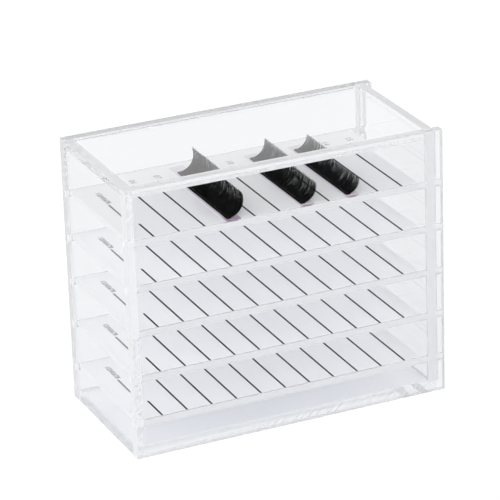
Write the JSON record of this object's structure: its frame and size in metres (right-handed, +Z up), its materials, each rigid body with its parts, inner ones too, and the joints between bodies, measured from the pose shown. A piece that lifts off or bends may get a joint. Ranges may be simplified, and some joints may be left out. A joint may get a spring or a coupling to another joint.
{
  "type": "eyelash strip organizer",
  "caption": "Clear acrylic box with white lined trays in grooves for eyelash strips, and a clear side door that lifts out.",
  "frame": {"origin": "middle of the underside of the base", "axes": "+X along the length towards the side door, +Y towards the rear, +Z up"},
  "size_m": [0.165, 0.081, 0.137],
  "materials": {
    "clear_acrylic": "clear polished acrylic",
    "white_acrylic": "opaque white, glossy",
    "marking_colour": "matt dark grey",
    "lash_fibre": "black, satin",
    "adhesive_tape": "thin pale purple film"
  },
  "bodies": {
    "case": {"front_panel": "clear_acrylic", "rear_panel": "clear_acrylic", "left_wall": "clear_acrylic", "top_panel": "clear_acrylic", "base_panel": "clear_acrylic"},
    "side_door": {"side_door": "clear_acrylic"},
    "tray_1": {"tray_1": "white_acrylic", "tray_1_lines": "marking_colour", "lash_tape_1": "adhesive_tape", "lash_strip_1": "lash_fibre", "lash_tape_2": "adhesive_tape", "lash_strip_2": "lash_fibre", "lash_tape_3": "adhesive_tape", "lash_strip_3": "lash_fibre"},
    "tray_2": {"tray_2": "white_acrylic", "tray_2_lines": "marking_colour"},
    "tray_3": {"tray_3": "white_acrylic", "tray_3_lines": "marking_colour"},
    "tray_4": {"tray_4": "white_acrylic", "tray_4_lines": "marking_colour"},
    "tray_5": {"tray_5": "white_acrylic", "tray_5_lines": "marking_colour"}
  },
  "joints": [
    {"name": "door_lift", "type": "slide", "parent": "case", "child": "side_door", "axis": [0, 0, 1], "range_m": [0, 0.13]},
    {"name": "tray_1_slide", "type": "slide", "parent": "case", "child": "tray_1", "axis": [1, 0, 0], "range_m": [0, 0.003]},
    {"name": "tray_2_slide", "type": "slide", "parent": "case", "child": "tray_2", "axis": [1, 0, 0], "range_m": [0, 0.003]},
    {"name": "tray_3_slide", "type": "slide", "parent": "case", "child": "tray_3", "axis": [1, 0, 0], "range_m": [0, 0.003]},
    {"name": "tray_4_slide", "type": "slide", "parent": "case", "child": "tray_4", "axis": [1, 0, 0], "range_m": [0, 0.003]},
    {"name": "tray_5_slide", "type": "slide", "parent": "case", "child": "tray_5", "axis": [1, 0, 0], "range_m": [0, 0.003]}
  ]
}
